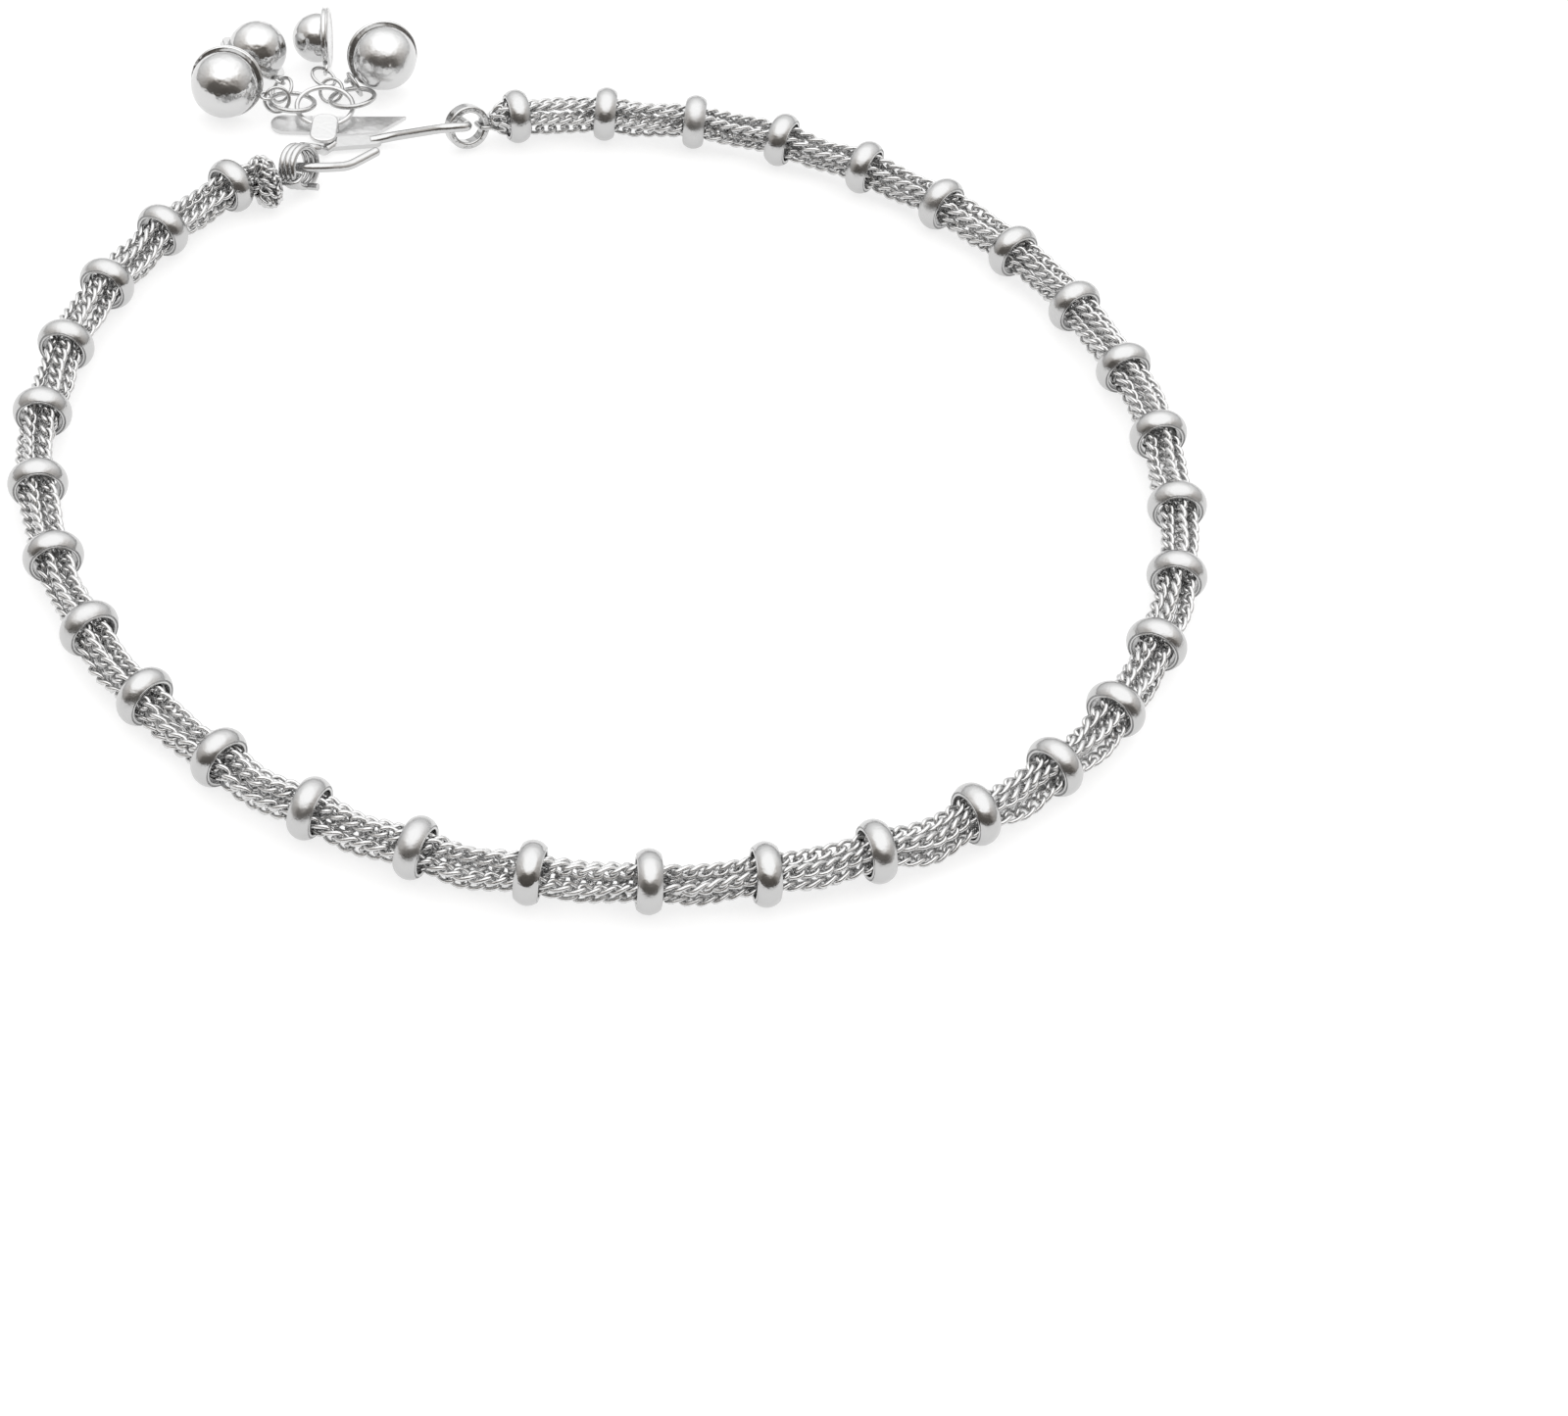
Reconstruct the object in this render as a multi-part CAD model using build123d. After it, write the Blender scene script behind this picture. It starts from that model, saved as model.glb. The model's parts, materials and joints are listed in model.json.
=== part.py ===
from build123d import *
from math import cos, sin, radians, pi
import os

# Payal anklet, lying closed on a floor at z = 0.  Millimetres.
# The loop lies in the XY plane; ring beads stand on the floor, threaded on a
# bundle of six fine chains.  The clasp (hook, two end rings, leaf tag, jump
# rings and four bells) closes the loop at its upper left, towards -X +Y.

os.makedirs("parts", exist_ok=True)

# ---- ring beads ---------------------------------------------------------
BEAD_RADIUS = 2.25        # crown of the band
BEAD_SHOULDER = 1.90      # band radius at its two edges
BEAD_HALF_WIDTH = 0.82    # centre to the edge of the band
BEAD_HOLE = 1.60
LIP_OUTER = 1.78
LIP_RISE = 0.875          # centre to the crest of the lip

# ---- loop: tangent arcs, each carrying beads evenly spaced ---------------
FIRST_BEAD = (-32.4, 32.8)
FIRST_HEADING = -132.5
#        radius, sweep, beads on the arc after its first
ARCS = [(40.5, 55.0, 5),
        (43.0, 52.0, 5),
        (45.0, 61.0, 6),
        (38.0, 56.5, 5),
        (45.0, 50.0, 5),
        (41.0, 52.5, 5)]
TAIL_RADIUS, TAIL_SWEEP = 2.4, 55.0      # bend from the first bead to the gathered end
TAIL_RUN = 0.9                           # straight run between that bend and the first bead
END_RUN = 1.5                            # straight run past the last bead
# beads that have swung on the chains, degrees about the vertical
SWUNG = {2: 4, 3: 3, 7: -4, 8: 5, 9: 5, 10: -5, 11: 5, 12: -5, 13: -3, 15: -5, 16: -5,
         17: -4, 26: -3, 27: -5, 29: -5, 30: 4, 31: -5, 32: 3}

# ---- chain bundle -------------------------------------------------------
BUNDLE_Z = 2.15
STRAND = 0.50             # radius of one strand's envelope
STRAND_RING = 0.92        # centre line of the six outer strands
KNOT_CENTRE = Vector(-29.80, 33.80, 2.17)                # gathered end links at the left
KNOT_RADIUS, KNOT_LENGTH, KNOT_HEADING = 2.15, 1.8, 32.0

# ---- clasp --------------------------------------------------------------
COIL_CENTRE = Vector(-27.20, 36.05, 2.15)
COIL_AXIS = Vector(0.84, -0.42, 0.34).normalized()
COIL_MEAN, COIL_WIRE, COIL_PITCH = 1.62, 0.30, 0.52      # three turns side by side
RING_CENTRE = Vector(-14.00, 43.15, 2.02)
RING_AXIS = Vector(0.45, -0.83, 0.33).normalized()
RING_INNER, RING_OUTER, RING_HALF = 1.28, 1.86, 0.58
HOOK_WIRE = 0.40
LOOP_WIRE, LOOP_GAP = 0.19, 0.07
LINK_WIRE = 0.15
JUMP_WIRE = 0.21
LEAF_Z, LEAF_THICK = 0.15, 0.35
STRAP_Z, STRAP_WIDTH, STRAP_THICK = 1.29, 2.2, 0.34      # clear of the hook that it crosses


def step(x, y, heading, radius, sweep):
    """Point and heading after a left-hand arc."""
    h2 = heading + sweep
    x2 = x + radius * (sin(radians(h2)) - sin(radians(heading)))
    y2 = y - radius * (cos(radians(h2)) - cos(radians(heading)))
    return x2, y2, h2


def bead_stations():
    x, y, h = FIRST_BEAD[0], FIRST_BEAD[1], FIRST_HEADING
    out = [(x, y, h)]
    for radius, sweep, count in ARCS:
        for _ in range(count):
            x, y, h = step(x, y, h, radius, sweep / count)
            out.append((x, y, h))
    return out


def ring_bead():
    """D-section band with a fine lip round each mouth, on the X axis."""
    w, lip = BEAD_HALF_WIDTH, LIP_RISE

    def side(s):
        inner, outer = (s * 0.76, BEAD_HOLE), (s * 0.76, LIP_OUTER)
        groove, edge = (s * 0.70, 1.83), (s * w, BEAD_SHOULDER)
        crest = (s * lip, (BEAD_HOLE + LIP_OUTER) / 2)
        return inner, crest, outer, groove, edge

    i1, c1, o1, g1, e1 = side(1)
    i2, c2, o2, g2, e2 = side(-1)
    edges = [Line(i2, i1), ThreePointArc(i1, c1, o1), Line(o1, g1), Line(g1, e1),
             ThreePointArc(e1, (0, BEAD_RADIUS), e2), Line(e2, g2), Line(g2, o2),
             ThreePointArc(o2, c2, i2)]
    return revolve(make_face(edges), Axis.X, 360)


def strand_section():
    s = Circle(STRAND)
    for k in range(6):
        s += Pos(STRAND_RING * cos(k * pi / 3), STRAND_RING * sin(k * pi / 3)) * Circle(STRAND)
    return s


def bundle_path():
    x, y, h = FIRST_BEAD[0], FIRST_BEAD[1], FIRST_HEADING
    bx, by = x - TAIL_RUN * cos(radians(h)), y - TAIL_RUN * sin(radians(h))
    start = step(bx, by, h, TAIL_RADIUS, -TAIL_SWEEP)
    edges = []

    def arc(x, y, h, radius, sweep):
        mx, my, _ = step(x, y, h, radius, sweep / 2)
        ex, ey, eh = step(x, y, h, radius, sweep)
        edges.append(ThreePointArc((x, y, BUNDLE_Z), (mx, my, BUNDLE_Z), (ex, ey, BUNDLE_Z)))
        return ex, ey, eh

    arc(*start, TAIL_RADIUS, TAIL_SWEEP)
    edges.append(Line((bx, by, BUNDLE_Z), (x, y, BUNDLE_Z)))
    for radius, sweep, _ in ARCS:
        x, y, h = arc(x, y, h, radius, sweep)
    end = (x + END_RUN * cos(radians(h)), y + END_RUN * sin(radians(h)))
    edges.append(Line((x, y, BUNDLE_Z), (end[0], end[1], BUNDLE_Z)))
    return Wire(edges), (end[0], end[1], h)


def unit(v):
    return Vector(*v).normalized()


def across(n, v):
    """The part of v square to n, as a unit vector."""
    n = unit(n)
    return unit(Vector(*v) - n * Vector(*v).dot(n))


def torus_at(centre, normal, mean, wire):
    p = Plane(origin=centre, z_dir=normal)
    return p * Torus(mean, wire)


def rod(p, q, r1, r2=None):
    """Round bar, or cone, from p to q."""
    p, q = Vector(*p), Vector(*q)
    pl = Plane(origin=(p + q) * 0.5, z_dir=(q - p))
    length = (q - p).length
    return pl * (Cylinder(r1, length) if r2 is None else Cone(r1, r2, length))


def ball(p, r):
    return Pos(*Vector(*p)) * Sphere(r)


def rounded_path(points, radii):
    """Lines through the points with each inner corner rounded by a tangent arc."""
    pts = [Vector(*p) for p in points]
    edges, last = [], pts[0]
    for k in range(1, len(pts) - 1):
        a, b, c = pts[k - 1], pts[k], pts[k + 1]
        u, v = (a - b).normalized(), (c - b).normalized()
        half = radians(u.get_angle(v)) / 2
        if abs(half - pi / 2) < 0.01:
            continue
        r = radii[k - 1]
        cut = r / (sin(half) / cos(half))
        p, q = b + u * cut, b + v * cut
        mid_dir = (u + v).normalized()
        centre = b + mid_dir * (r / sin(half))
        m = centre - mid_dir * r
        if (p - last).length > 1e-4:
            edges.append(Line(last, p))
        edges.append(ThreePointArc(p, m, q))
        last = q
    edges.append(Line(last, pts[-1]))
    return Wire(edges)


def wire_along(points, radii, wire):
    path = rounded_path(points, radii)
    section = Plane(origin=path @ 0, z_dir=path % 0) * Circle(wire)
    return sweep(section, path=path)


def closed_loop(centre, u, v, hu, hv, corner, wire):
    """Rounded rectangular wire loop, half sizes hu along u and hv along v."""
    c = Vector(*centre)
    start = c + v * hv
    pts = [start, c + u * hu + v * hv, c + u * hu - v * hv, c - u * hu - v * hv,
           c - u * hu + v * hv, start]
    path = rounded_path(pts, [corner] * 4)
    section = Plane(origin=path @ 0, z_dir=path % 0) * Circle(wire)
    return sweep(section, path=path)


COIL_BACK = across(COIL_AXIS, (0.40, 0.90, 0.13))       # from the coil's axis to its far wall
RING_RIGHT = across(RING_AXIS, (1, 0, 0))               # from the ring's axis to the chain side


def chain_bundle():
    """Six chains as one lobed bar, gathered at each end into a loop on its end ring."""
    path, end = bundle_path()
    section = Plane(origin=path @ 0, z_dir=path % 0) * strand_section()
    body = sweep(section, path=path)
    # left end: a thick knot of end links, then a loop round the coil's near wall
    along = Vector(cos(radians(KNOT_HEADING)), sin(radians(KNOT_HEADING)), 0)
    drum = Plane(origin=KNOT_CENTRE, z_dir=along) * Cylinder(KNOT_RADIUS, KNOT_LENGTH)
    drum = fillet(drum.edges().filter_by(GeomType.CIRCLE), 0.6)
    wall = COIL_CENTRE - COIL_BACK * COIL_MEAN
    reach, depth = COIL_PITCH + COIL_WIRE + LOOP_WIRE + LOOP_GAP, COIL_WIRE + LOOP_WIRE + LOOP_GAP
    loop = closed_loop(wall, COIL_AXIS, COIL_BACK, reach, depth, 0.34, LOOP_WIRE)
    near = wall - COIL_BACK * depth - COIL_AXIS * 0.5
    left = drum + rod(KNOT_CENTRE, near, 0.75, 0.22) + loop
    # right end: strands closing to a loop round the right ring's wall
    tail = Vector(end[0], end[1], BUNDLE_Z)
    back = Vector(-cos(radians(end[2])), -sin(radians(end[2])), 0)
    rwall = RING_CENTRE + RING_RIGHT * ((RING_INNER + RING_OUTER) / 2)
    reach = RING_HALF + LOOP_WIRE + LOOP_GAP
    depth = (RING_OUTER - RING_INNER) / 2 + LOOP_WIRE + LOOP_GAP
    rloop = closed_loop(rwall, RING_AXIS, RING_RIGHT, reach, depth, 0.34, LOOP_WIRE)
    right = rod(tail + back * 0.4, rwall + RING_RIGHT * depth, 1.25, 0.26) + rloop
    return body + left + right


def coil_ring():
    """Left end ring: three turns of wire fused side by side, with its cut end standing out."""
    turns = None
    for k in (-1, 0, 1):
        t = torus_at(COIL_CENTRE + COIL_AXIS * (k * COIL_PITCH), COIL_AXIS, COIL_MEAN, COIL_WIRE)
        turns = t if turns is None else turns + t
    down = across(COIL_AXIS, (0, 0, -1))
    side = across(COIL_AXIS, Vector(*COIL_BACK) * -0.35 + down)
    foot = COIL_CENTRE + side * COIL_MEAN + COIL_AXIS * COIL_PITCH
    tip = foot + COIL_AXIS * 1.05 + Vector(0.1, 0.1, -0.1)
    return turns + rod(foot, tip, COIL_WIRE)


def band_ring():
    """Right end ring: a short thick tube."""
    tube = Cylinder(RING_OUTER, 2 * RING_HALF) - Cylinder(RING_INNER, 2 * RING_HALF)
    tube = fillet(tube.edges().filter_by(GeomType.CIRCLE), 0.16)
    return Plane(origin=RING_CENTRE, z_dir=RING_AXIS) * tube


def hook():
    """Hook wire: round the right ring's wall, along past the leaf with its middle
    hammered flat, back through the coil and out as the free end."""
    a, r = COIL_AXIS, COIL_BACK
    inside, outside = -0.10, COIL_MEAN + COIL_WIRE + HOOK_WIRE + 0.06
    turn = -1.95
    free = [(-21.25, 39.15, 1.75), (-23.3, 37.0, 1.75), COIL_CENTRE + r * inside + a * 1.3,
            COIL_CENTRE + r * inside + a * turn, COIL_CENTRE + r * outside + a * turn,
            COIL_CENTRE + r * outside + a * 0.15, (-25.6, 40.2, 0.62), (-24.9, 41.2, 0.62)]
    left = wire_along(free, [4.0, 3.0, 0.95, 0.95, 1.0, 0.5], HOOK_WIRE)
    left += ball(free[0], HOOK_WIRE)
    ax, rr = RING_AXIS, RING_RIGHT
    high = across(ax, (0, 0, 1))
    front = RING_HALF + HOOK_WIRE + 0.11
    bend = [(-21.9, 42.0, 0.62), (-20.2, 42.5, 0.85), RING_CENTRE + ax * front - rr * 2.2 + high * 0.35,
            RING_CENTRE + ax * front - rr * 0.2 + high * 0.3,
            RING_CENTRE - ax * (front + 0.1) - rr * 0.2 + high * 0.3]
    right = wire_along(bend, [2.5, 2.0, 0.6], HOOK_WIRE)
    right += ball(bend[-1], HOOK_WIRE)
    p, q = Vector(-25.2, 41.15, 0.62), Vector(-21.6, 42.02, 0.62)
    flat = Plane(origin=(p + q) * 0.5, x_dir=(q - p), z_dir=(0, 0, 1)) * extrude(
        SlotOverall((q - p).length + 1.2, 1.30), 0.22, both=True)
    return left + right + flat


def lean(x, y, degrees):
    """Normal of a ring lying flat, then turned about the level direction (x, y)."""
    turn, size = radians(degrees), (x * x + y * y) ** 0.5
    return Vector(y / size * sin(turn), -x / size * sin(turn), cos(turn))


# the oval link's centre, and the two jump rings that cross over its front and under its back
OVAL = Vector(-26.11, 45.36, 1.25)
OVAL_MEAN, OVAL_LEAN = 2.35, 5.0
JUMP_LEFT = Vector(-28.90, 45.60, 1.25)
JUMP_RIGHT = Vector(-23.95, 46.80, 1.25)
JUMP_MEAN = 1.87
LEFT_LEAN, RIGHT_LEAN = -15.0, -16.0


def leaf_tag():
    """Pointed leaf with a strap soldered across it and the oval link the jump rings hang on."""
    outline = [Line((-29.4, 42.55), (-25.6, 42.85)),
               ThreePointArc((-25.6, 42.85), (-23.2, 42.95), (-21.4, 43.45)),
               Line((-21.4, 43.45), (-19.3, 45.8)),
               ThreePointArc((-19.3, 45.8), (-24.5, 45.15), (-29.6, 44.75)),
               ThreePointArc((-29.6, 44.75), (-30.45, 43.6), (-29.4, 42.55))]
    leaf = Pos(0, 0, LEAF_Z) * extrude(make_face(outline), LEAF_THICK)
    strap = Pos(-25.85, 42.38, STRAP_Z) * Box(STRAP_WIDTH, 3.65, STRAP_THICK)
    strap = fillet(strap.edges().filter_by(Axis.Z), 0.95)
    strap = fillet(strap.faces().sort_by(Axis.Z)[-1].edges(), 0.15)
    foot_height = STRAP_Z - LEAF_Z
    strap += Pos(-25.85, 43.4, LEAF_Z + 0.1 + foot_height / 2) * Box(STRAP_WIDTH, 1.0, foot_height)
    return leaf + strap + torus_at(OVAL, lean(1, 0, OVAL_LEAN), OVAL_MEAN, JUMP_WIRE)


def jump_ring_left():
    way = OVAL - JUMP_LEFT
    return torus_at(JUMP_LEFT, lean(way.X, way.Y, LEFT_LEAN), JUMP_MEAN, JUMP_WIRE)


def jump_ring_right():
    way = JUMP_RIGHT - OVAL
    return torus_at(JUMP_RIGHT, lean(way.X, way.Y, RIGHT_LEAN), JUMP_MEAN, JUMP_WIRE)


# bell: centre of its dome, towards its lid, dome radius, rim radius, dome centre to rim,
#       from its axis to its eye, axis of the eye
BELLS = {1: ((-34.44, 44.71, 3.28), (0.08, 0.93, -0.36), 2.80, 3.05, 1.00,
             (0.96, -0.17, -0.23), (-0.13, -0.03, -0.99)),
         2: ((-32.43, 50.60, 2.62), (-0.45, -0.35, -0.82), 2.50, 3.00, 0.85,
             (0.75, -0.64, -0.14), (0.39, 0.40, 0.83)),
         3: ((-27.62, 52.95, 2.62), (0.99, 0.05, 0.08), 2.10, 2.60, 0.80,
             (0.08, -0.89, -0.44), (0.94, -0.16, -0.31)),
         4: ((-21.58, 49.99, 3.26), (-0.27, 0.88, -0.38), 2.70, 3.00, 1.00,
             (-0.76, -0.44, -0.48), (-0.71, 0.14, 0.69))}
EYE_MEAN, EYE_WIRE = 0.45, 0.14
EYE_REACH = 0.40          # rim to the eye's centre
RIM_HALF = 0.26           # half the height of the double-lipped rim
# small link from an eye to a jump ring: centre, mean radius, axis
BELL_LINKS = {"1": ((-30.12, 45.11, 1.76), 1.04, (-0.21, 0.88, -0.42)),
              "2": ((-29.92, 47.12, 1.27), 1.10, (-0.65, -0.34, 0.67)),
              "3a": ((-26.65, 49.25, 1.31), 1.06, (-0.41, 0.03, -0.91)),
              "3b": ((-25.86, 47.98, 0.92), 1.01, (0.29, 0.66, -0.69)),
              "4": ((-23.94, 48.49, 1.39), 1.05, (-0.80, -0.50, -0.34))}


def bell(centre, to_lid, dome, rim, height, to_eye, eye_axis):
    """Deep rounded cup with a double-lipped rim, a flat lid and a wire eye at the rim."""
    n = unit(to_lid)
    lid = height + 0.30
    low, high = height - RIM_HALF, height + RIM_HALF
    neck = ((dome * dome - low * low) ** 0.5, low)      # where the cup meets the rim
    belly = (dome * cos(radians(-40)), dome * sin(radians(-40)))
    # profile: x is the radius, y the height above the dome's centre
    edges = [Line((0, -dome), (0, lid)), Line((0, lid), (rim - 0.45, lid)),
             ThreePointArc((rim - 0.45, lid), (rim - 0.2, lid + 0.06), (rim, high - 0.08)),
             ThreePointArc((rim, high - 0.08), (rim - 0.07, height), (rim, low + 0.08)),
             Line((rim, low + 0.08), (rim - 0.08, low)), Line((rim - 0.08, low), neck),
             ThreePointArc(neck, belly, (0, -dome))]
    u = across(n, to_eye)
    # local Y becomes the bell's axis and local X points to its eye
    cup = Plane(origin=centre, x_dir=u, z_dir=u.cross(n)) * revolve(make_face(edges), Axis.Y, 360)
    eye = Vector(*centre) + n * height + u * (rim + EYE_REACH)
    return cup + torus_at(eye, across(u, eye_axis), EYE_MEAN, EYE_WIRE)


def build():
    parts = {}
    bead = ring_bead()
    for k, (x, y, h) in enumerate(bead_stations(), start=1):
        parts["bead_%02d" % k] = Pos(x, y, BEAD_RADIUS) * Rot(0, 0, h + SWUNG.get(k, 0)) * bead
    parts["chain_bundle"] = chain_bundle()
    parts["left_end_ring"] = coil_ring()
    parts["right_end_ring"] = band_ring()
    parts["hook"] = hook()
    parts["leaf_tag"] = leaf_tag()
    parts["jump_ring_left"] = jump_ring_left()
    parts["jump_ring_right"] = jump_ring_right()
    for k, row in BELLS.items():
        parts["bell_%d" % k] = bell(*row)
    for k, (centre, mean, axis) in BELL_LINKS.items():
        parts["bell_link_" + k] = torus_at(centre, axis, mean, LINK_WIRE)
    return parts


parts = build()
box = Compound([p for p in parts.values()]).bounding_box()
shift = Pos(-(box.min.X + box.max.X) / 2, -(box.min.Y + box.max.Y) / 2, -box.min.Z)
for name, solid in parts.items():
    export_step(shift * solid, "parts/%s.step" % name)
print(len(parts), "parts, size", box.size, "shift", shift.position)
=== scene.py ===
"""Looks of a payal anklet: fine curb chains through ring beads, with a hook clasp and bells.

The scene is in metres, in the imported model's frame. The sizes that are named below are in millimetres,
unless their comment says otherwise.
"""
import json
import math
import random

import bpy
import numpy as np
from mathutils import Matrix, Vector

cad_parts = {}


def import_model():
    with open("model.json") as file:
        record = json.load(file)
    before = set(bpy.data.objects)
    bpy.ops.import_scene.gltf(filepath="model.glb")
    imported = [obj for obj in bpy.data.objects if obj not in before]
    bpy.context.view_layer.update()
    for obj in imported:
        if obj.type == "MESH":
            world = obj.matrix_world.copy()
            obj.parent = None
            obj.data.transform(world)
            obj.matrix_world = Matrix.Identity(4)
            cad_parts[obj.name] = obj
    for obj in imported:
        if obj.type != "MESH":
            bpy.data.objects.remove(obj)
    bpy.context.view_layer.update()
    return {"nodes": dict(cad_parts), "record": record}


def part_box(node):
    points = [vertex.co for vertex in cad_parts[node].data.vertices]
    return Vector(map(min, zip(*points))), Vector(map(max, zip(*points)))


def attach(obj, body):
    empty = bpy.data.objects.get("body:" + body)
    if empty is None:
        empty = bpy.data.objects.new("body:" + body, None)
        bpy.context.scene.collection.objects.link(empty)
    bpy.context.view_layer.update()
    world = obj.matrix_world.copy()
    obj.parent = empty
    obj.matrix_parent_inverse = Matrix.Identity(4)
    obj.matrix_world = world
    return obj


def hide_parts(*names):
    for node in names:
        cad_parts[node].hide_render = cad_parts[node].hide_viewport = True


MM = 0.001
UP = np.array([0, 0, 1.0])

# camera: on the near side of the loop, looking down at it; angles are in degrees
CAMERA_SIDE, CAMERA_BACK, CAMERA_HEIGHT = 0.1, 200.11, 187.04
CAMERA_PITCH, CAMERA_ROLL = 43.91, 4.29
LENS, SENSOR = 82.0, 36.0
SHIFT_X, SHIFT_Y = 0.1125, -0.136
CLIP_START = 10.0

# the bundle of chains
STRANDS = 5                   # chains round a sixth in the middle
STRAND_RING = 0.97            # from the bundle's middle to an outer chain's, in a bead
SPREAD, SAG = 0.05, 0.10      # how far the chains ease apart and sink between two beads
SPAN_SAG = (0.0, 0.40)        # further sinking of a span, least and most
SPAN_BULGE = (-0.15, 0.35)    # bulge of a span away from the loop's middle, least and most
OWN_SPREAD = (-0.05, 0.16)    # further easing out of one chain in one span, least and most
LEAD_IN, LEAD_OUT = 0.9, 2.0  # how far the route runs straight on past the first and the last bead
ROUTE_STEPS = 24              # points from one bead to the next
LINE_POINTS = 4000            # points along one chain's centre line
WAY_STEP = 0.2                # how far to both sides the route's way is read

# an outer chain wanders: size of each wave, in radians or mm, and its length in mm for one radian
BUNDLE_TURN, TURN_RUN, TURN_START = 0.5, 13, 1.0
SLOW_WANDER, SLOW_RUN = 0.18, 4.1
FAST_WANDER, FAST_RUN = 0.09, 1.9
OUT_WANDER, OUT_RUN = 0.09, 1.3

# a curb link
LINK_PITCH = 1.06
LINK_HALF, LINK_WIDE = 0.78, 0.40     # half length and half width of its centre line
LINK_WIRE = 0.165                     # the wire's radius
LINK_TWIST = -60.0                    # degrees that it is turned at each of its ends
LINK_STEPS, WIRE_STEPS = 20, 8        # points along a link and round its wire
LINK_REACH = 0.4                      # how far to both sides a link's way is read
ROLL, ROLL_WAVE, ROLL_RUN = 0.9, 0.7, 8.5   # roll about the chain in radians, its wave, mm for one radian
ROLL_SHIFT, ROLL_SPREAD = 1.3, 0.09   # start of the wave from chain to chain, and scatter of the roll

# the knot of end links at the left
KNOT_PLACE = (-29.69, 25.65, 2.17)
KNOT_HEADING = 32.0                   # degrees from X
NEAR_SPREAD = 0.20                    # share by which its links spread further on the outer side
# rows: place along the knot, links, how far out their middles are, half length, lean along the knot
KNOT_ROWS = ((-0.62, 15, 1.42, 0.56, 0.45), (-0.2, 15, 1.52, 0.54, 0.15), (0.22, 15, 1.52, 0.54, -0.1),
             (0.62, 14, 1.40, 0.56, -0.45), (0.0, 9, 0.85, 0.5, 0.0))
KNOT_WIDE, KNOT_TWIST = 0.30, 25
KNOT_SCATTER, KNOT_LEAN_SCATTER, KNOT_ROLL_SCATTER = 0.06, 0.15, 0.7
END_WIRE = 0.15                       # radius of the wire of both ends' links

# the end links at the right
TAIL_START = 1.15                     # from the last bead's middle to the first row
TAIL_ROWS = ((0.0, 1.0), (0.55, 0.70))    # place of a row past the start, and how far out its links are
TAIL_HALF, TAIL_WIDE, TAIL_TWIST = 0.62, 0.33, 30
TAIL_LEAN = 0.45                      # how far the links lean inwards
TAIL_SCATTER, TAIL_ROLL = 0.1, 3      # scatter round the bundle, and the most roll

# the loops round the walls of the two end rings, whose middles and axes are as in the part
COIL_PLACE = (-27.09, 27.90, 2.15)
COIL_AXIS = (0.84, -0.42, 0.34)
COIL_WALL_WAY = (-0.40, -0.90, -0.13)     # from the left ring's axis to the wall that its loop holds
RING_PLACE = (-13.89, 35.00, 2.02)
RING_AXIS = (0.45, -0.83, 0.33)
RING_WALL_WAY = (1.0, 0.0, 0.0)           # the same for the right ring
# last three: distance to the wall, half size along the ring's axis, half size across the wall
END_LOOPS = ((COIL_PLACE, COIL_AXIS, COIL_WALL_WAY, 1.62, 1.08, 0.56),
             (RING_PLACE, RING_AXIS, RING_WALL_WAY, 1.57, 0.84, 0.55))
LOOP_BOW, LOOP_WIRE = 0.55, 0.19

# silver: clouds of tarnish and gloss, and finer relief, as noise whose scale is a share of the grain
CLOUD_SHARE, CLOUD_DETAIL = 0.4, 5.0
FINE_SHARE, FINE_DETAIL = 3, 3.0
CLOUD_LOW, CLOUD_HIGH = 0.3, 0.7          # noise values that give the glossiest and the dullest metal
LEAST_ROUGH = 0.02
BRIGHT_SHARE = 0.5                        # lightening of the brightest places, as a share of the tarnish

# studio: pairs of a direction's part along one axis (-1 to 1) and a value
SKY = ((-0.2, 0.12), (0.0, 0.14), (0.06, 0.36), (0.16, 0.50), (0.40, 0.62), (0.70, 0.88), (0.86, 1.0),
       (1.0, 1.0))                        # brightness by height
NEAR_GAP = ((-1.0, 0.88), (-0.62, 0.86), (-0.35, 0.50), (0.0, 0.32), (0.6, 0.0), (1.0, 0.0))  # depth by Y
LOW_GAP = ((-0.2, 1.0), (0.62, 1.0), (0.80, 0.0), (1.0, 0.0))                # share of it by height
LOWEST = -0.2                             # height at which the values by height begin
SKY_POWER = 1.7
GAP_TINT = (1.0, 0.90, 0.80)              # colour of the little light that the gap gives
FLOOR_TONE, FLOOR_GLOW = 0.35, 0.72       # the floor's own grey, and its light from within
FLOOR_ROUGH, FLOOR_SHINE = 0.5, 0.2
FLOOR_SIZE = 60.0                         # in metres, so that its far edge lies at the horizon

rng = random.Random(7)
noise = np.random.default_rng(7)


def unit(v):
    v = np.asarray(v, float)
    return v / np.linalg.norm(v, axis=-1, keepdims=True)


def across(n, v):
    """The part of v square to n, as a unit vector."""
    n, v = unit(n), np.asarray(v, float)
    return unit(v - n * v.dot(n))


def along_line(s, length, line):
    """Points of a line at the lengths s, when length holds the length at each of its points."""
    return np.stack([np.interp(s, length, line[:, k]) for k in range(3)], -1)


def lengths(line):
    """The length of a line up to each of its points."""
    return np.r_[0, np.cumsum(np.linalg.norm(np.diff(line, axis=0), axis=1))]


# ---- places read from the frame -----------------------------------------
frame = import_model()


def middle(node):
    low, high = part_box(node)
    return (np.array(low) + np.array(high)) / 2


bead_places = np.array([middle(n) for n in sorted(frame["nodes"]) if n.startswith("bead_")])
right_ring = middle("right_end_ring")
spans = len(bead_places) + 1


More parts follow.
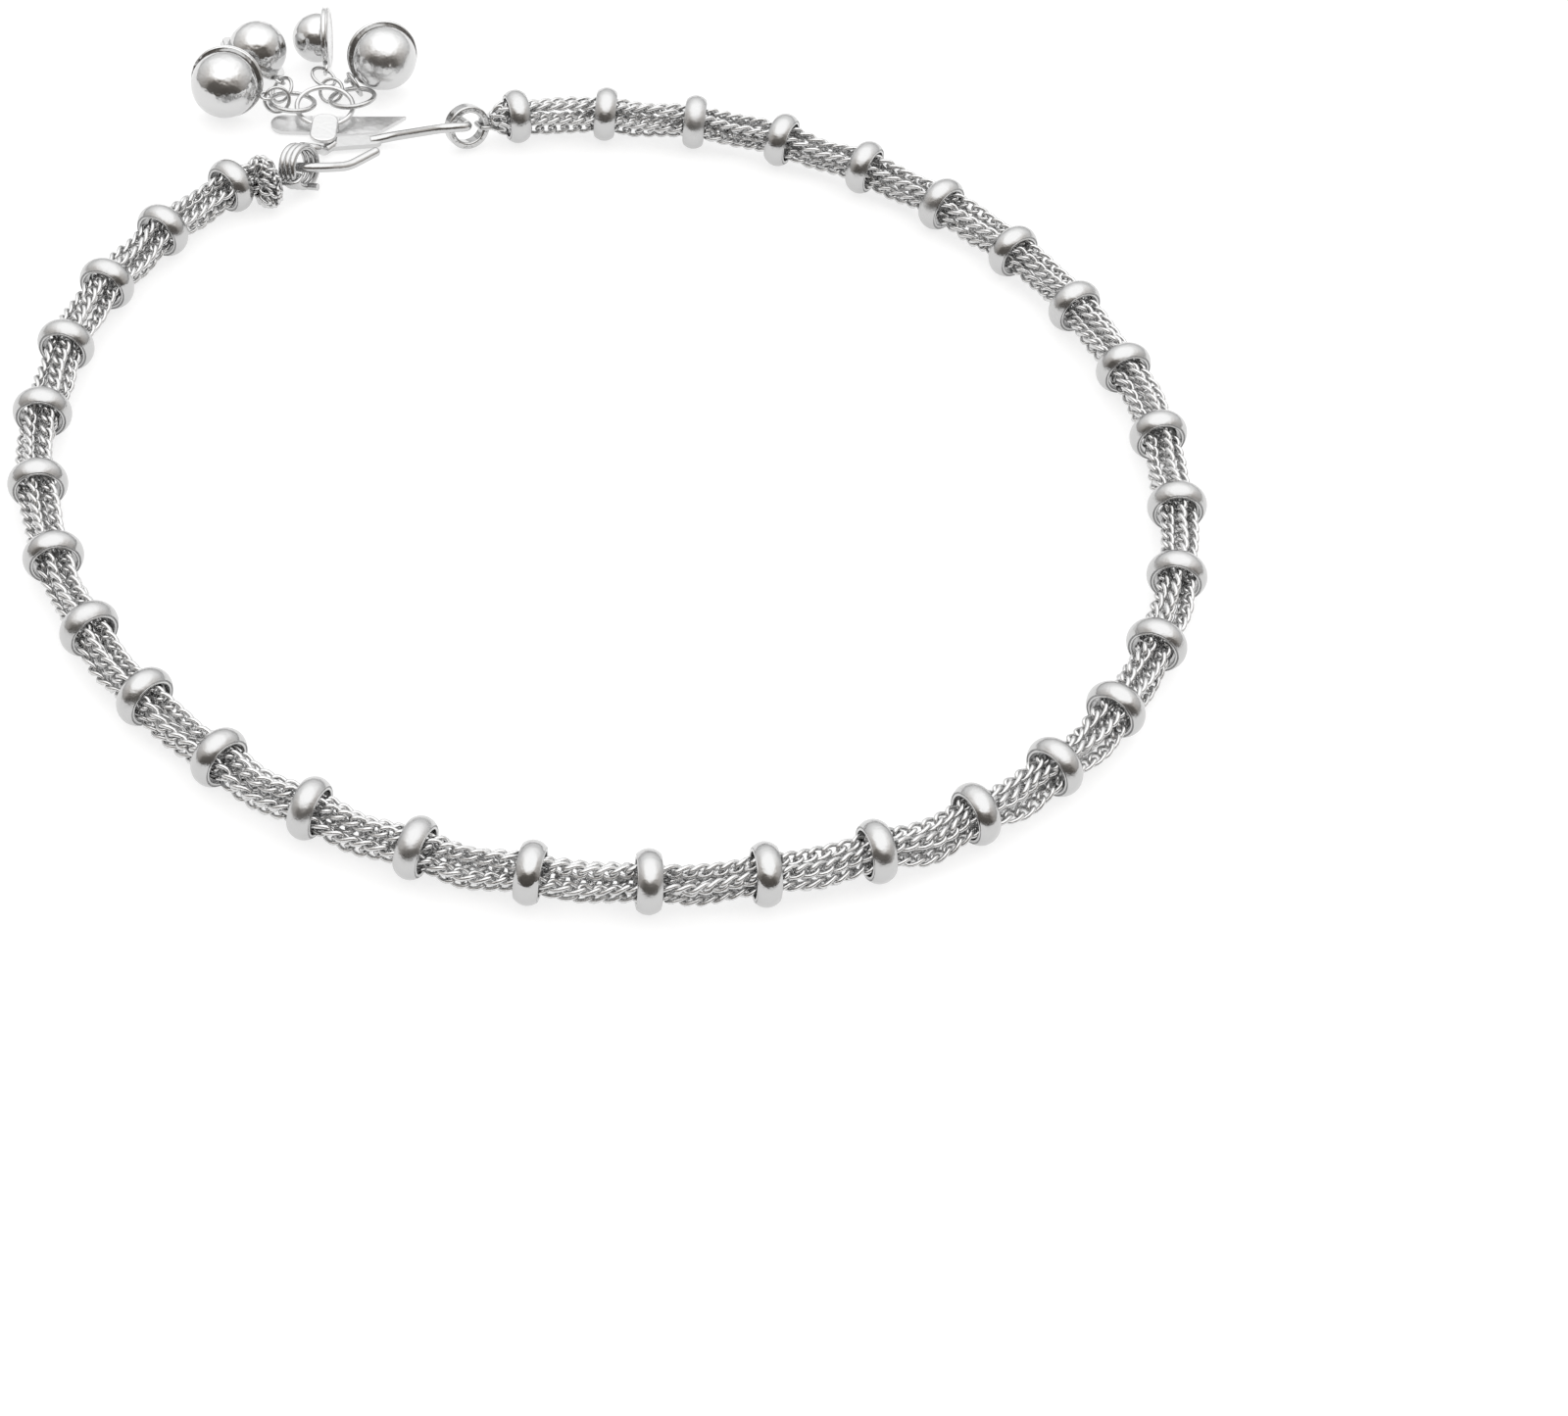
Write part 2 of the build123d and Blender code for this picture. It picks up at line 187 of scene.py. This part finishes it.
# ---- materials ----------------------------------------------------------
def silver(name, rough, grain, tint=0.56, rough_spread=0.08, bump=0.02, tarnish=0.06):
    """Polished silver: uneven gloss, faint tarnish clouds and fine relief, whose depth is bump in mm."""
    mat = bpy.data.materials.new(name)
    mat.use_nodes = True
    nt = mat.node_tree
    bsdf = nt.nodes["Principled BSDF"]
    bsdf.inputs["Metallic"].default_value = 1.0
    coords = nt.nodes.new("ShaderNodeTexCoord")

    def grains(scale, detail):
        node = nt.nodes.new("ShaderNodeTexNoise")
        node.inputs["Scale"].default_value = scale
        node.inputs["Detail"].default_value = detail
        nt.links.new(coords.outputs["Object"], node.inputs["Vector"])
        return node.outputs["Fac"]

    clouds = grains(grain * CLOUD_SHARE, CLOUD_DETAIL)
    tone = nt.nodes.new("ShaderNodeMix")
    tone.data_type = "RGBA"
    dark = tint * (1 - tarnish)
    bright = min(1.0, tint * (1 + tarnish * BRIGHT_SHARE))
    tone.inputs["A"].default_value = (dark, dark, dark, 1)
    tone.inputs["B"].default_value = (bright, bright, bright, 1)
    nt.links.new(clouds, tone.inputs["Factor"])
    nt.links.new(tone.outputs["Result"], bsdf.inputs["Base Color"])
    gloss = nt.nodes.new("ShaderNodeMapRange")
    gloss.inputs["From Min"].default_value = CLOUD_LOW
    gloss.inputs["From Max"].default_value = CLOUD_HIGH
    gloss.inputs["To Min"].default_value = max(LEAST_ROUGH, rough - rough_spread)
    gloss.inputs["To Max"].default_value = rough + rough_spread
    nt.links.new(clouds, gloss.inputs["Value"])
    nt.links.new(gloss.outputs["Result"], bsdf.inputs["Roughness"])
    relief = nt.nodes.new("ShaderNodeBump")
    relief.inputs["Strength"].default_value = 1.0
    relief.inputs["Distance"].default_value = bump * MM
    nt.links.new(grains(grain * FINE_SHARE, FINE_DETAIL), relief.inputs["Height"])
    nt.links.new(relief.outputs["Normal"], bsdf.inputs["Normal"])
    return mat


SILVER = {"bead": silver("bead_silver", rough=0.22, rough_spread=0.1, grain=600, bump=0.035),
          "chain": silver("chain_silver", tint=0.68, rough=0.22, rough_spread=0.1, grain=1500, tarnish=0.12),
          "clasp": silver("clasp_silver", tint=0.58, rough=0.13, rough_spread=0.06, grain=700),
          "leaf": silver("leaf_silver", tint=0.72, rough=0.38, grain=700, bump=0.035, tarnish=0.15),
          "bell": silver("bell_silver", tint=0.65, rough=0.17, rough_spread=0.12, grain=170, bump=0.16,
                         tarnish=0.12),
          "links": silver("link_silver", rough=0.2, grain=900)}


def dress(obj, slot):
    obj.data.materials.clear()
    obj.data.materials.append(SILVER[slot])


# ---- links --------------------------------------------------------------
def oval(half, wide, twist=0.0, bow=0.85):
    """A link's centre line about the origin, long way X, turned by twist degrees towards each end.

    A bow of 1 is an ellipse, and a smaller one is squarer.
    """
    t = np.linspace(0, 2 * math.pi, LINK_STEPS, endpoint=False)
    c, s = np.cos(t), np.sin(t)
    x = half * np.sign(c) * np.abs(c) ** bow
    y = wide * np.sign(s) * np.abs(s) ** bow
    turn = np.radians(twist) * x / half
    return np.stack([x, y * np.cos(turn), y * np.sin(turn)], -1)


def placed(loop, centres, along, up, roll):
    """The loop at each centre: its X along, its Z near up, rolled about X by roll radians."""
    along = unit(along)
    side = unit(np.cross(up, along))
    high = np.cross(along, side)
    c, s = np.cos(roll)[:, None], np.sin(roll)[:, None]
    y, z = side * c + high * s, high * c - side * s
    axes = np.stack([along, y, z], 1)     # for each centre, the loop's three axes in rows
    return centres[:, None, :] + np.einsum("kj,nji->nki", loop * MM, axes)


def placed_one(loop, centre, along, up, roll=0.0):
    return placed(loop, centre[None], along[None], up[None], np.array([roll]))[0]


def wire_loops(curves, wire):
    """Round wire along many closed curves at once: curves is (loops, steps, 3) in metres."""
    n, k, _ = curves.shape
    tangent = unit(np.roll(curves, -1, 1) - np.roll(curves, 1, 1))
    out = curves - curves.mean(1, keepdims=True)
    out = unit(out - (out * tangent).sum(-1, keepdims=True) * tangent)
    side = np.cross(tangent, out)
    angle = np.linspace(0, 2 * math.pi, WIRE_STEPS, endpoint=False)
    ring = (np.cos(angle)[:, None] * out[:, :, None, :] + np.sin(angle)[:, None] * side[:, :, None, :])
    verts = curves[:, :, None, :] + ring * wire
    a = np.arange(n * k * WIRE_STEPS).reshape(n, k, WIRE_STEPS)
    b = np.roll(a, -1, 1)
    c, d = np.roll(b, -1, 2), np.roll(a, -1, 2)
    return verts, np.stack([a, d, c, b], -1).reshape(-1, 4)


def add_links(name, curves, wire, slot):
    """One piece of the chains: a wire of the given radius in mm along each closed curve."""
    verts, faces = wire_loops(curves, wire * MM)
    mesh = bpy.data.meshes.new(name)
    mesh.from_pydata(verts.reshape(-1, 3).tolist(), [], faces.tolist())
    mesh.polygons.foreach_set("use_smooth", [True] * len(mesh.polygons))
    mesh.update()
    obj = bpy.data.objects.new(name, mesh)
    bpy.context.scene.collection.objects.link(obj)
    dress(obj, slot)
    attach(obj, "root")
    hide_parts("chain_bundle")


# ---- the bundle's route -------------------------------------------------
def smooth_route(points):
    """Catmull-Rom curve through the points."""
    p = np.vstack([2 * points[0] - points[1], points, 2 * points[-1] - points[-2]])
    t = np.linspace(0, 1, ROUTE_STEPS, endpoint=False)[:, None]
    out = []
    for k in range(1, len(p) - 2):
        a, b, c, d = p[k - 1], p[k], p[k + 1], p[k + 2]
        out.append(0.5 * (2 * b + (c - a) * t + (2 * a - 5 * b + 4 * c - d) * t ** 2
                          + (3 * b - a - 3 * c + d) * t ** 3))
    out.append(points[-1:])
    return np.vstack(out)


knot = np.array(KNOT_PLACE) * MM
first_way = unit(bead_places[0] - bead_places[1])
last_way = unit(bead_places[-1] - bead_places[-2])
route = smooth_route(np.vstack([knot, bead_places[0] + first_way * LEAD_IN * MM, bead_places,
                                bead_places[-1] + last_way * LEAD_OUT * MM]))
route_length = lengths(route)
bead_at = np.array([route_length[np.argmin(np.linalg.norm(route - b, axis=1))] for b in bead_places])
span_sag = noise.uniform(*SPAN_SAG, spans)
span_bulge = noise.uniform(*SPAN_BULGE, spans)


def route_at(s):
    """Points of the route at the lengths s, with the level way to its left."""
    step = WAY_STEP * MM
    along = unit(along_line(s + step, route_length, route) - along_line(s - step, route_length, route))
    return along_line(s, route_length, route), unit(np.cross(UP, along))


def ease(s):
    """The span that each length is in, and 0 in a bead to 1 midway between two."""
    k = np.clip(np.searchsorted(bead_at, s), 1, len(bead_at) - 1)
    u = np.clip((s - bead_at[k - 1]) / (bead_at[k] - bead_at[k - 1]), 0, 1)
    return k, np.sin(math.pi * u) ** 2


def strand_line(j):
    """Centre line of one chain, and a line beside it that its links' roll is measured from."""
    s = np.linspace(0, route_length[-1], LINE_POINTS)
    p, left = route_at(s)
    span, open_up = ease(s)
    shift = left * span_bulge[span][:, None] + UP * (SAG + span_sag[span])[:, None]
    p = p - shift * open_up[:, None] * MM
    if j == STRANDS:
        return p, p - UP * MM
    start, slow, fast = noise.uniform(0, 2 * math.pi, 3)
    own = noise.uniform(*OWN_SPREAD, spans)
    wander = (SLOW_WANDER * np.sin(s / MM / SLOW_RUN + slow)
              + FAST_WANDER * np.sin(s / MM / FAST_RUN + fast))
    angle = (2 * math.pi * j / STRANDS + BUNDLE_TURN * np.sin(s / MM / TURN_RUN + TURN_START)
             + open_up * wander)
    ring = STRAND_RING + open_up * (SPREAD + own[span] + OUT_WANDER * np.sin(s / MM / OUT_RUN + start))
    line = p + (left * (ring * np.cos(angle))[:, None] + UP * (ring * np.sin(angle))[:, None]) * MM
    return line, p


def strand(j):
    """One curb chain: identical twisted links, each through the next."""
    line, core = strand_line(j)
    length = lengths(line)
    count = int((length[-1] - LINK_PITCH * MM) / (LINK_PITCH * MM))
    s = (np.arange(count) + 0.5) * LINK_PITCH * MM
    at = along_line(s, length, line)
    ahead = along_line(s + LINK_REACH * MM, length, line)
    behind = along_line(s - LINK_REACH * MM, length, line)
    out = at - along_line(s, length, core)
    roll = (ROLL + ROLL_WAVE * np.sin(s / MM / ROLL_RUN + ROLL_SHIFT * j)
            + noise.normal(0, ROLL_SPREAD, count))
    curves = placed(oval(LINK_HALF, LINK_WIDE, LINK_TWIST), at, ahead - behind, out, roll)
    add_links(f"strand_{j + 1}", curves, LINK_WIRE, "chain")


# ---- gathered ends ------------------------------------------------------
def end_links_left():
    """The chains' last links, bunched and spread round the bundle past the first bead."""
    heading = math.radians(KNOT_HEADING)
    along = np.array([math.cos(heading), math.sin(heading), 0.0])
    left = np.array([-math.sin(heading), math.cos(heading), 0.0])
    curves = []
    for row, (shift, count, reach, half, lean) in enumerate(KNOT_ROWS):
        for k in range(count):
            angle = 2 * math.pi * (k + 0.5 * (row % 2)) / count + rng.uniform(-KNOT_SCATTER, KNOT_SCATTER)
            out = left * math.cos(angle) + UP * math.sin(angle)
            wider = 1 + NEAR_SPREAD * max(0.0, -math.cos(angle)) ** 2
            shifted = shift + rng.uniform(-KNOT_SCATTER, KNOT_SCATTER)
            centre = knot + along * shifted * MM + out * reach * wider * MM
            leaning = lean + rng.uniform(-KNOT_LEAN_SCATTER, KNOT_LEAN_SCATTER)
            curves.append(placed_one(oval(half, KNOT_WIDE, KNOT_TWIST), centre, unit(out + along * leaning),
                                     along, rng.uniform(-KNOT_ROLL_SCATTER, KNOT_ROLL_SCATTER)))
    add_links("end_links_left", np.array(curves), END_WIRE, "chain")


def end_links_right():
    """The chains' last links, drawn together towards the right end ring."""
    near = unit(right_ring - bead_places[-1])
    along = unit(near * np.array([1, 1, 0]))
    left = unit(np.cross(UP, along))
    start = bead_places[-1] + along * TAIL_START * MM
    curves = []
    for row, (step, ring) in enumerate(TAIL_ROWS):
        for k in range(STRANDS):
            angle = (2 * math.pi * (k + 0.5 * row) / STRANDS
                     + rng.uniform(-TAIL_SCATTER, TAIL_SCATTER))
            out = left * math.cos(angle) + UP * math.sin(angle)
            centre = start + along * step * MM + out * ring * MM
            curves.append(placed_one(oval(TAIL_HALF, TAIL_WIDE, TAIL_TWIST), centre,
                                     unit(along - out * TAIL_LEAN), out, rng.uniform(0, TAIL_ROLL)))
    add_links("end_links_right", np.array(curves), END_WIRE, "chain")


def end_loops():
    """A wire loop from each gathered end round the near wall of its end ring."""
    curves = []
    for place, axis, way, wall, reach, depth in END_LOOPS:
        out = across(axis, way)
        centre = np.array(place) * MM + out * wall * MM
        curves.append(placed_one(oval(reach, depth, bow=LOOP_BOW), centre, np.array(axis),
                                 np.cross(unit(axis), out)))
    add_links("end_loops", np.array(curves), LOOP_WIRE, "links")


# ---- stage --------------------------------------------------------------
def floor():
    """A pale table, lit a little from within so that shadows on it stay light."""
    bpy.ops.mesh.primitive_plane_add(size=FLOOR_SIZE, location=(0, 0, 0))
    obj = bpy.context.object
    obj.name = "floor"
    mat = bpy.data.materials.new("floor_white")
    mat.use_nodes = True
    bsdf = mat.node_tree.nodes["Principled BSDF"]
    bsdf.inputs["Base Color"].default_value = (FLOOR_TONE, FLOOR_TONE, FLOOR_TONE, 1)
    bsdf.inputs["Roughness"].default_value = FLOOR_ROUGH
    bsdf.inputs["Specular IOR Level"].default_value = FLOOR_SHINE
    bsdf.inputs["Emission Color"].default_value = (1, 1, 1, 1)
    bsdf.inputs["Emission Strength"].default_value = FLOOR_GLOW
    obj.data.materials.append(mat)


def world():
    """A soft tent, brightest overhead, with a dark horizon and a darker gap on the near side.

    The silver mirrors that horizon and gap. Seen directly, past the floor's far edge, the tent is white.
    """
    w = bpy.data.worlds.new("tent")
    bpy.context.scene.world = w
    w.use_nodes = True
    nt = w.node_tree
    back = nt.nodes["Background"]
    coords = nt.nodes.new("ShaderNodeTexCoord")
    split = nt.nodes.new("ShaderNodeSeparateXYZ")
    nt.links.new(coords.outputs["Generated"], split.inputs[0])

    def ramp(axis, low, stops):
        """A value by the direction's part along one axis, from low to 1."""
        spread = nt.nodes.new("ShaderNodeMapRange")
        spread.inputs["From Min"].default_value = low
        spread.inputs["From Max"].default_value = 1.0
        nt.links.new(split.outputs[axis], spread.inputs["Value"])
        node = nt.nodes.new("ShaderNodeValToRGB")
        nt.links.new(spread.outputs["Result"], node.inputs["Fac"])
        while len(node.color_ramp.elements) < len(stops):
            node.color_ramp.elements.new(0.5)
        for element, (at, value) in zip(node.color_ramp.elements, stops):
            element.position = (at - low) / (1.0 - low)
            element.color = (value, value, value, 1)
        return node.outputs["Color"]

    def join(kind, a, b):
        """A maths node of the given kind on two sockets or numbers."""
        node = nt.nodes.new("ShaderNodeMath")
        node.operation = kind
        for socket, source in zip(node.inputs, (a, b)):
            if isinstance(source, float):
                socket.default_value = source
            else:
                nt.links.new(source, socket)
        return node.outputs[0]

    sky = ramp("Z", LOWEST, SKY)
    gap = join("MULTIPLY", ramp("Y", -1.0, NEAR_GAP), ramp("Z", LOWEST, LOW_GAP))
    seen = nt.nodes.new("ShaderNodeLightPath").outputs["Is Camera Ray"]
    gap = join("MULTIPLY", gap, join("SUBTRACT", 1.0, seen))
    light = join("MULTIPLY", sky, join("SUBTRACT", 1.0, gap))
    warm = nt.nodes.new("ShaderNodeMix")
    warm.data_type = "RGBA"
    warm.inputs["A"].default_value = (1.0, 1.0, 1.0, 1)
    warm.inputs["B"].default_value = (*GAP_TINT, 1)
    nt.links.new(gap, warm.inputs["Factor"])
    nt.links.new(warm.outputs["Result"], back.inputs["Color"])
    nt.links.new(join("MAXIMUM", join("MULTIPLY", light, SKY_POWER), seen), back.inputs["Strength"])


def camera():
    cam = bpy.data.cameras.new("camera")
    obj = bpy.data.objects.new("camera", cam)
    bpy.context.scene.collection.objects.link(obj)
    cam.lens, cam.sensor_width = LENS, SENSOR
    cam.shift_x, cam.shift_y = SHIFT_X, SHIFT_Y
    cam.clip_start = CLIP_START * MM
    pitch, roll = math.radians(90 - CAMERA_PITCH), math.radians(CAMERA_ROLL)
    look = Matrix.Rotation(pitch, 4, "X") @ Matrix.Rotation(roll, 4, "Z")
    place = (CAMERA_SIDE * MM, -CAMERA_BACK * MM, CAMERA_HEIGHT * MM)
    obj.matrix_world = Matrix.Translation(place) @ look
    bpy.context.scene.camera = obj


# ---- build --------------------------------------------------------------
camera()
floor()
world()
bpy.context.scene.view_settings.view_transform = "Standard"

slots = {row["node"]: row["material_slot"] for row in frame["record"]["subparts"]}
for node, obj in frame["nodes"].items():
    dress(obj, slots[node])
for j in range(STRANDS + 1):
    strand(j)
end_links_left()
end_links_right()
end_loops()
